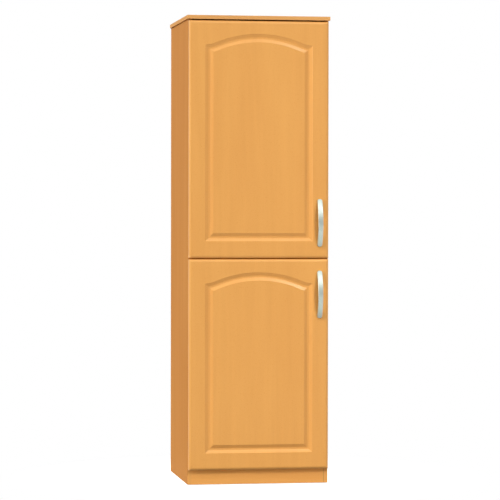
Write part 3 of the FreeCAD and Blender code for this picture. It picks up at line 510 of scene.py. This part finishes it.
# a cross recess in a square of 3 by 3 cells, whose rim is the first loop of the head
def addCross(work, reach, width, depth, taper):
    verts = bmesh.ops.create_grid(work, x_segments=3, y_segments=3, size=1.0)["verts"]
    between = 0.5   # the rim is at 1 and the arms' sides at 1/3 from the middle
    rim = [vert for vert in verts if max(abs(vert.co.x), abs(vert.co.y)) > between]
    for vert in verts:
        for axis in (0, 1):
            size = reach if abs(vert.co[axis]) > between else width / 2
            vert.co[axis] = math.copysign(size, vert.co[axis])
    faces = dict.fromkeys(face for vert in verts for face in vert.link_faces)
    middles = {face: face.calc_center_median() for face in faces}
    arms = [face for face, middle in middles.items() if min(abs(middle.x), abs(middle.y)) < width / 2]
    sunk = bmesh.ops.extrude_face_region(work, geom=arms)["geom"]
    floorVerts = [item for item in sunk if isinstance(item, bmesh.types.BMVert)]
    bmesh.ops.translate(work, verts=floorVerts, vec=(0, 0, -depth))
    bmesh.ops.transform(work, matrix=Matrix.Diagonal((taper, taper, 1.0, 1.0)), verts=floorVerts)
    bmesh.ops.delete(work, geom=[face for face in arms if face.is_valid], context="FACES")
    return rim


# the head's outline as (radius, drop) rings below the cross, in shares of the head's radius and height
screwHead = {
    "crossReach": 0.50, "crossWidth": 0.20, "crossDepth": 0.62, "crossTaper": 0.8,
    "rings": ((0.72, 0.04), (0.90, 0.24), (0.99, 0.56), (1.00, 0.92), (0.97, 1.00)),
    "steps": 32, "tip": 0.5, "tipRadius": 0.3, "sharp": 35.0,
}
screwSets = {
    "hinge_plate_screws": {"piece": "hingePlateScrews", "out": (1, 0, 0), "head": 0.0022, "shank": 0.0025},
    "hinge_arm_screws": {"piece": "hingeArmScrews", "out": (1, 0, 0), "head": 0.0024, "shank": 0.0020},
    "lower_cup_screws": {"piece": "lowerCupScrews", "out": (0, 1, 0), "head": 0.0018, "shank": 0.00175},
    "upper_cup_screws": {"piece": "upperCupScrews", "out": (0, 1, 0), "head": 0.0018, "shank": 0.00175},
    "lower_handle_screws": {"piece": "lowerHandleScrews", "out": (0, 1, 0), "head": 0.0026, "shank": 0.0020},
    "upper_handle_screws": {"piece": "upperHandleScrews", "out": (0, 1, 0), "head": 0.0026, "shank": 0.0020},
    "wall_bracket_screws": {"piece": "wallBracketScrews", "out": "middle", "head": 0.0020, "shank": 0.0019},
}


def addScrew(work, low, high, settings):
    out = settings["out"]
    outward = towardsMiddle(low, high) if out == "middle" else Vector(out)
    top, radius, length = seatOf(low, high, outward)
    before = set(work.verts)
    steps = screwHead["steps"]
    height = settings["head"]
    loops = [addCross(work, radius * screwHead["crossReach"], radius * screwHead["crossWidth"],
                      height * screwHead["crossDepth"], screwHead["crossTaper"])]
    loops += [addRing(work, radius * share, -height * drop, steps) for share, drop in screwHead["rings"]]
    shank = settings["shank"]
    tip = shank * screwHead["tip"]
    loops += [addRing(work, shank, level, steps) for level in (-height, tip - length)]
    loops.append(addRing(work, shank * screwHead["tipRadius"], -length, steps))
    skin(work, loops)
    closeLoop(work, loops[-1])
    standIn(work, before, top, outward)


# cams are hollow discs with a cross in the face, as they are cast
camFace = {
    "piece": "camDiscs", "crossReach": 0.46, "crossWidth": 0.18, "crossDepth": 0.0016, "crossTaper": 0.8,
    "rim": 0.93, "rimDrop": 0.0004, "wall": 0.0013, "lid": 0.0024, "steps": 48, "sharp": 35.0,
}


def addCam(work, low, high):
    size = high - low
    facesDown = size.z < size.x   # the cams under a board; the others sit in the side panels
    outward = Vector((0, 0, -1)) if facesDown else towardsMiddle(low, high)
    top, radius, length = seatOf(low, high, outward)
    before = set(work.verts)
    steps = camFace["steps"]
    inner = radius - camFace["wall"]
    outline = ((radius * camFace["rim"], 0.0), (radius, -camFace["rimDrop"]), (radius, -length),
               (inner, -length), (inner, -camFace["lid"]))
    loops = [addCross(work, radius * camFace["crossReach"], radius * camFace["crossWidth"],
                      camFace["crossDepth"], camFace["crossTaper"])]
    loops += [addRing(work, reach, level, steps) for reach, level in outline]
    skin(work, loops)
    closeLoop(work, loops[-1])
    standIn(work, before, top, outward)


# bumpers are soft domes, in (radius, rise) shares of their box
bumperDome = {
    "rings": ((1.00, 0.0), (1.00, 0.35), (0.88, 0.72), (0.62, 0.92), (0.30, 1.0)),
    "steps": 32, "sharp": 80.0,
}


def addBumper(work, low, high):
    outward = Vector((0, 1, 0))
    top, radius, length = seatOf(low, high, outward)
    before = set(work.verts)
    steps = bumperDome["steps"]
    loops = [addRing(work, radius * share, length * (rise - 1), steps)
             for share, rise in bumperDome["rings"]]
    skin(work, loops)
    closeLoop(work, loops[0])
    closeLoop(work, loops[-1])
    standIn(work, before, top, outward)


# edges that turn by more than sharp, in degrees, stay crisp
def finishPiece(work, name, node, sharp):
    bmesh.ops.recalc_face_normals(work, faces=work.faces)
    for face in work.faces:
        face.smooth = True
    for edge in work.edges:
        edge.smooth = edge.calc_face_angle(math.pi) < math.radians(sharp)
    mesh = bpy.data.meshes.new(name)
    work.to_mesh(mesh)
    work.free()
    piece = bpy.data.objects.new(name, mesh)
    scene.collection.objects.link(piece)
    mesh.materials.append(finishFor(node))
    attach(piece, bodyOf[node])
    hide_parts(node)


for node, settings in screwSets.items():
    work = bmesh.new()
    for low, high in solidsOf(node):
        addScrew(work, low, high, settings)
    finishPiece(work, settings["piece"], node, screwHead["sharp"])
work = bmesh.new()
for low, high in solidsOf("cam_locks"):
    addCam(work, low, high)
finishPiece(work, camFace["piece"], "cam_locks", camFace["sharp"])
for leaf in ("lower", "upper"):
    work = bmesh.new()
    for low, high in solidsOf(f"{leaf}_door_bumpers"):
        addBumper(work, low, high)
    finishPiece(work, f"{leaf}Bumpers", f"{leaf}_door_bumpers", bumperDome["sharp"])
print("screws, cams and bumpers made")


# pale floor, white to the eye outside the shadow
floorLook = {
    "size": 60.0,
    "roughness": 0.9,
    "seen": 0.95,                 # tone to the eye
    "bounce": 0.06,               # tone for the light it throws back
    "mirror": 0.36,               # what metal sees of it close in front
    "far": 0.56,                  # and further off
    "lift": 0.55,                 # keeps the lit floor white beside the shadow
    "shadowReach": (0.40, 1.05),  # the shadow fades out between these distances
    "frontLine": -0.25,           # metal sees a darker floor in front of this line
    "farSpan": (-0.7, -1.2),      # and a paler one again past these
}


def makeFloor():
    work = bmesh.new()
    bmesh.ops.create_grid(work, x_segments=1, y_segments=1, size=floorLook["size"] / 2)
    mesh = bpy.data.meshes.new("floor")
    work.to_mesh(mesh)
    work.free()
    floor = bpy.data.objects.new("floor", mesh)
    scene.collection.objects.link(floor)
    material, tree, shader = newMaterial("paleFloor")
    shader.inputs["Roughness"].default_value = floorLook["roughness"]
    shader.inputs["Specular IOR Level"].default_value = 0.0
    place = objectPlace(tree)
    reach = addNode(tree, "ShaderNodeVectorMath", {0: place}, operation="LENGTH").outputs["Value"]
    depth = addNode(tree, "ShaderNodeSeparateXYZ", {0: place}).outputs["Y"]
    behind = mathNode(tree, "GREATER_THAN", depth, floorLook["frontLine"])
    rays = addNode(tree, "ShaderNodeLightPath").outputs
    mirrored = mathNode(tree, "MAXIMUM", rays["Is Glossy Ray"], rays["Is Transmission Ray"])
    seen = mathNode(tree, "MAXIMUM", rays["Is Camera Ray"], mathNode(tree, "MULTIPLY", mirrored, behind))
    greys = {key: rgba((floorLook[key],) * 3) for key in ("bounce", "mirror", "far", "seen")}
    front = mixColour(tree, rangeNode(tree, depth, floorLook["farSpan"]), greys["mirror"], greys["far"])
    tone = mixColour(tree, mirrored, greys["bounce"], front)
    tree.links.new(mixColour(tree, seen, tone, greys["seen"]), shader.inputs["Base Color"])
    shader.inputs["Emission Color"].default_value = (1, 1, 1, 1)
    lift = mathNode(tree, "MULTIPLY", seen, floorLook["lift"])
    tree.links.new(lift, shader.inputs["Emission Strength"])
    away = rangeNode(tree, reach, floorLook["shadowReach"], smooth=True)
    white = addNode(tree, "ShaderNodeEmission", {"Color": (1, 1, 1, 1), "Strength": 1.0})
    blend = addNode(tree, "ShaderNodeMixShader", {0: mathNode(tree, "MULTIPLY", away, seen)})
    tree.links.new(shader.outputs[0], blend.inputs[1])
    tree.links.new(white.outputs[0], blend.inputs[2])
    tree.links.new(blend.outputs[0], tree.nodes["Material Output"].inputs["Surface"])
    mesh.materials.append(material)


# the room: soft fill for matt surfaces, and what gloss sees; spans are in X, Y or Z of the direction
roomLight = {
    "frontFill": 0.18,
    "sideFill": 0.48, "sideSpan": (-0.4, 0.1),
    "backFill": 0.95, "backSpan": (0.4, 0.8),
    "rightFill": 0.25, "rightSpan": (0.5, 0.9),       # added on the right
    "frontGrey": 0.42,                                # gloss sees this in front
    "rightGrey": 0.06, "greySpan": (0.35, 0.75),      # this to the right of it
    "skyGlow": 0.98, "skySpan": (0.05, 0.35),         # this above
    "zenithGrey": 0.80, "zenithSpan": (0.6, 0.95),    # this straight above
    "leftGlow": 2.4, "leftSpan": (-0.65, -0.9),       # and a bright window on the far left
}


def makeWorld():
    light = roomLight
    world = bpy.data.worlds.new("studio")
    world.use_nodes = True
    scene.world = world
    tree = world.node_tree
    back = tree.nodes["Background"]
    direction = addNode(tree, "ShaderNodeTexCoord").outputs["Generated"]
    parts = addNode(tree, "ShaderNodeSeparateXYZ", {0: direction}).outputs
    rays = addNode(tree, "ShaderNodeLightPath").outputs
    beside = rangeNode(tree, parts["Y"], light["sideSpan"], (light["frontFill"], light["sideFill"]))
    rear = rangeNode(tree, parts["Y"], light["backSpan"], (0.0, light["backFill"] - light["sideFill"]))
    right = rangeNode(tree, parts["X"], light["rightSpan"], (0.0, light["rightFill"]))
    soft = mathNode(tree, "ADD", beside, mathNode(tree, "ADD", rear, right))
    front = rangeNode(tree, parts["X"], light["greySpan"], (light["frontGrey"], light["rightGrey"]))
    behind = rangeNode(tree, parts["Y"], light["sideSpan"])
    rising = rangeNode(tree, parts["Z"], light["skySpan"], (0.0, light["skyGlow"]))
    falling = rangeNode(tree, parts["Z"], light["zenithSpan"], (light["skyGlow"], light["zenithGrey"]))
    above = mathNode(tree, "MINIMUM", rising, falling)
    window = rangeNode(tree, parts["X"], light["leftSpan"], (0.0, light["leftGlow"]))
    shown = mathNode(tree, "MAXIMUM", front, mathNode(tree, "MAXIMUM", behind, above))
    shown = mathNode(tree, "ADD", shown, window)
    mirrored = mathNode(tree, "MAXIMUM", rays["Is Glossy Ray"], rays["Is Transmission Ray"])
    matt = mathNode(tree, "SUBTRACT", 1.0, mirrored)
    level = mathNode(tree, "ADD", mathNode(tree, "MULTIPLY", matt, soft),
                     mathNode(tree, "MULTIPLY", mirrored, shown))
    back.inputs["Color"].default_value = (1, 1, 1, 1)
    tree.links.new(mathNode(tree, "MAXIMUM", level, rays["Is Camera Ray"]), back.inputs["Strength"])


# two lamps stand front right, one above head height and one by the floor, and light the tall front evenly;
# far lamps add light from the left, from above, and on the right side from the rear;
# a lamp with glint shows in gloss alone and draws the pale lines on the mouldings
nearLamps = {
    "highLamp": {"place": (1.15, -2.97, 2.90), "radius": 0.30, "level": 0.350},
    "lowLamp": {"place": (1.15, -2.60, 0.12), "radius": 0.10, "level": 0.278},
}
farLamps = {
    "leftWindow": {"turn": -66.0, "rise": 25.0, "spread": 40.0, "level": 0.76, "glint": False},
    "steepLamp": {"turn": -20.0, "rise": 60.0, "spread": 25.0, "level": 0.19, "glint": False},
    "rightTop": {"turn": 35.0, "rise": 34.0, "spread": 9.0, "level": 0.24, "glint": True},
    "rightRear": {"turn": 115.0, "rise": 25.0, "spread": 40.0, "level": 0.28, "glint": False},
}
# power at level 1, where a white surface that looks at the lamp shows white
nearPower = 4 * math.pi ** 2
farPower = math.pi


def addLamp(name, kind, energy, glint=False):
    data = bpy.data.lights.new(name, kind)
    data.energy = energy
    light = bpy.data.objects.new(name, data)
    scene.collection.objects.link(light)
    light.visible_camera = False
    light.visible_diffuse = not glint
    light.visible_glossy = glint
    return data, light


def makeLamps():
    for name, lamp in nearLamps.items():
        data, light = addLamp(name, "POINT", nearPower * lamp["level"])
        data.shadow_soft_size = lamp["radius"]
        data.use_nodes = True
        tree = data.node_tree
        steady = addNode(tree, "ShaderNodeLightFalloff", {"Strength": 1.0}).outputs["Constant"]
        tree.links.new(steady, tree.nodes["Emission"].inputs["Strength"])
        light.location = lamp["place"]
    for name, lamp in farLamps.items():
        data, light = addLamp(name, "SUN", farPower * lamp["level"], lamp["glint"])
        data.angle = math.radians(lamp["spread"])
        turn = math.radians(lamp["turn"])
        rise = math.radians(lamp["rise"])
        flat = math.cos(rise)
        towards = Vector((math.sin(turn) * flat, -math.cos(turn) * flat, math.sin(rise)))
        light.rotation_euler = (-towards).to_track_quat("-Z", "Y").to_euler()


# camera: far off, a little to the left, above half height
view = {
    "place": (-1.705, -10.6065, 1.167),
    "yaw": 9.162,
    "pitch": -0.956,
    "roll": 0.09,
    "lens": 178.61,
    "sensor": 36.0,
    "sight": 200.0,
}


def makeCamera():
    data = bpy.data.cameras.new("camera")
    data.lens = view["lens"]
    data.sensor_width = view["sensor"]
    data.clip_end = view["sight"]
    camera = bpy.data.objects.new("camera", data)
    scene.collection.objects.link(camera)
    turn = Matrix.Rotation(math.radians(-view["yaw"]), 4, "Z")
    tilt = Matrix.Rotation(math.radians(90 + view["pitch"]), 4, "X")
    lean = Matrix.Rotation(math.radians(view["roll"]), 4, "Z")
    camera.matrix_world = Matrix.Translation(view["place"]) @ turn @ tilt @ lean
    scene.camera = camera


makeFloor()
makeWorld()
makeLamps()
makeCamera()
print("stage, lamps and camera set")
